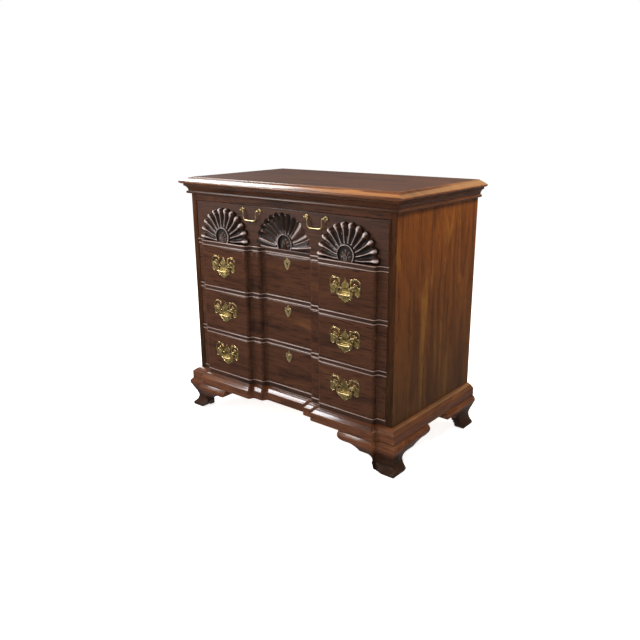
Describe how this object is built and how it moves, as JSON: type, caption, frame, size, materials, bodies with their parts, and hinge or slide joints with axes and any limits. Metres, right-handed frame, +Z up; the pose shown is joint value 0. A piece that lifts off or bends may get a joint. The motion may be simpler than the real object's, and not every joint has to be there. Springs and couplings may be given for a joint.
{
  "type": "block front chest",
  "caption": "Block-front chest of drawers with carved shells on the top drawer, beaded dividers, moulded top and base, ogee bracket feet, brass bail pulls and box locks.",
  "frame": {"origin": "middle of the chest's footprint, on the floor", "axes": "+X to the right as seen from the front, +Y to the back, +Z up"},
  "size_m": [0.9696, 0.5538, 0.897],
  "materials": {
    "mahogany": "dark red-brown mahogany with a glossy rubbed finish",
    "secondary_wood": "plain sawn poplar, unfinished",
    "brass": "aged cast brass"
  },
  "bodies": {
    "case": {"top_board": "mahogany", "bed_moulding_front": "mahogany", "bed_moulding_returns": "mahogany", "case_side_left": "mahogany", "case_side_right": "mahogany", "top_rails": "mahogany", "back_panel": "secondary_wood", "bottom_board": "secondary_wood", "bottom_rail": "mahogany", "divider_1": "mahogany", "divider_2": "mahogany", "divider_3": "mahogany", "drawer_runners": "secondary_wood", "base_moulding_front": "mahogany", "base_moulding_returns": "mahogany", "base_frame_back": "secondary_wood", "foot_front_left": "mahogany", "foot_front_right": "mahogany", "foot_back_left": "mahogany", "foot_back_right": "mahogany", "foot_glue_blocks": "secondary_wood"},
    "drawer_1": {"drawer_1_front": "mahogany", "drawer_1_sides": "secondary_wood", "drawer_1_back": "secondary_wood", "drawer_1_bottom": "secondary_wood", "drawer_1_posts": "brass", "shells_convex": "mahogany"},
    "drawer_1_bail_left": {"drawer_1_bail_left": "brass"},
    "drawer_1_bail_right": {"drawer_1_bail_right": "brass"},
    "drawer_2": {"drawer_2_front": "mahogany", "drawer_2_sides": "secondary_wood", "drawer_2_back": "secondary_wood", "drawer_2_bottom": "secondary_wood", "drawer_2_posts": "brass", "drawer_2_plates": "brass", "drawer_2_lock_case": "brass"},
    "drawer_2_bail_left": {"drawer_2_bail_left": "brass"},
    "drawer_2_bail_right": {"drawer_2_bail_right": "brass"},
    "drawer_2_lock_bolt": {"drawer_2_lock_bolt": "brass"},
    "drawer_3": {"drawer_3_front": "mahogany", "drawer_3_sides": "secondary_wood", "drawer_3_back": "secondary_wood", "drawer_3_bottom": "secondary_wood", "drawer_3_posts": "brass", "drawer_3_plates": "brass", "drawer_3_lock_case": "brass"},
    "drawer_3_bail_left": {"drawer_3_bail_left": "brass"},
    "drawer_3_bail_right": {"drawer_3_bail_right": "brass"},
    "drawer_3_lock_bolt": {"drawer_3_lock_bolt": "brass"},
    "drawer_4": {"drawer_4_front": "mahogany", "drawer_4_sides": "secondary_wood", "drawer_4_back": "secondary_wood", "drawer_4_bottom": "secondary_wood", "drawer_4_posts": "brass", "drawer_4_plates": "brass", "drawer_4_lock_case": "brass"},
    "drawer_4_bail_left": {"drawer_4_bail_left": "brass"},
    "drawer_4_bail_right": {"drawer_4_bail_right": "brass"},
    "drawer_4_lock_bolt": {"drawer_4_lock_bolt": "brass"}
  },
  "joints": [
    {"name": "drawer_1_slide", "type": "slide", "parent": "case", "child": "drawer_1", "axis": [0, -1, 0], "range_m": [0, 0.33]},
    {"name": "drawer_1_bail_left_swing", "type": "hinge", "parent": "drawer_1", "child": "drawer_1_bail_left", "pos_m": [-0.1445, -0.2316, 0.798], "axis": [-1, 0, 0], "range_deg": [0, 100]},
    {"name": "drawer_1_bail_right_swing", "type": "hinge", "parent": "drawer_1", "child": "drawer_1_bail_right", "pos_m": [0.1445, -0.2316, 0.798], "axis": [-1, 0, 0], "range_deg": [0, 100]},
    {"name": "drawer_2_slide", "type": "slide", "parent": "case", "child": "drawer_2", "axis": [0, -1, 0], "range_m": [0, 0.33]},
    {"name": "drawer_2_bail_left_swing", "type": "hinge", "parent": "drawer_2", "child": "drawer_2_bail_left", "pos_m": [-0.2755, -0.2491, 0.59975], "axis": [-1, 0, 0], "range_deg": [0, 100]},
    {"name": "drawer_2_bail_right_swing", "type": "hinge", "parent": "drawer_2", "child": "drawer_2_bail_right", "pos_m": [0.2755, -0.2491, 0.59975], "axis": [-1, 0, 0], "range_deg": [0, 100]},
    {"name": "drawer_2_lock_bolt_throw", "type": "slide", "parent": "drawer_2", "child": "drawer_2_lock_bolt", "axis": [0, 0, 1], "range_m": [0, 0.008]},
    {"name": "drawer_3_slide", "type": "slide", "parent": "case", "child": "drawer_3", "axis": [0, -1, 0], "range_m": [0, 0.33]},
    {"name": "drawer_3_bail_left_swing", "type": "hinge", "parent": "drawer_3", "child": "drawer_3_bail_left", "pos_m": [-0.2755, -0.2491, 0.4335], "axis": [-1, 0, 0], "range_deg": [0, 100]},
    {"name": "drawer_3_bail_right_swing", "type": "hinge", "parent": "drawer_3", "child": "drawer_3_bail_right", "pos_m": [0.2755, -0.2491, 0.4335], "axis": [-1, 0, 0], "range_deg": [0, 100]},
    {"name": "drawer_3_lock_bolt_throw", "type": "slide", "parent": "drawer_3", "child": "drawer_3_lock_bolt", "axis": [0, 0, 1], "range_m": [0, 0.008]},
    {"name": "drawer_4_slide", "type": "slide", "parent": "case", "child": "drawer_4", "axis": [0, -1, 0], "range_m": [0, 0.33]},
    {"name": "drawer_4_bail_left_swing", "type": "hinge", "parent": "drawer_4", "child": "drawer_4_bail_left", "pos_m": [-0.2755, -0.2491, 0.2685], "axis": [-1, 0, 0], "range_deg": [0, 100]},
    {"name": "drawer_4_bail_right_swing", "type": "hinge", "parent": "drawer_4", "child": "drawer_4_bail_right", "pos_m": [0.2755, -0.2491, 0.2685], "axis": [-1, 0, 0], "range_deg": [0, 100]},
    {"name": "drawer_4_lock_bolt_throw", "type": "slide", "parent": "drawer_4", "child": "drawer_4_lock_bolt", "axis": [0, 0, 1], "range_m": [0, 0.008]}
  ]
}
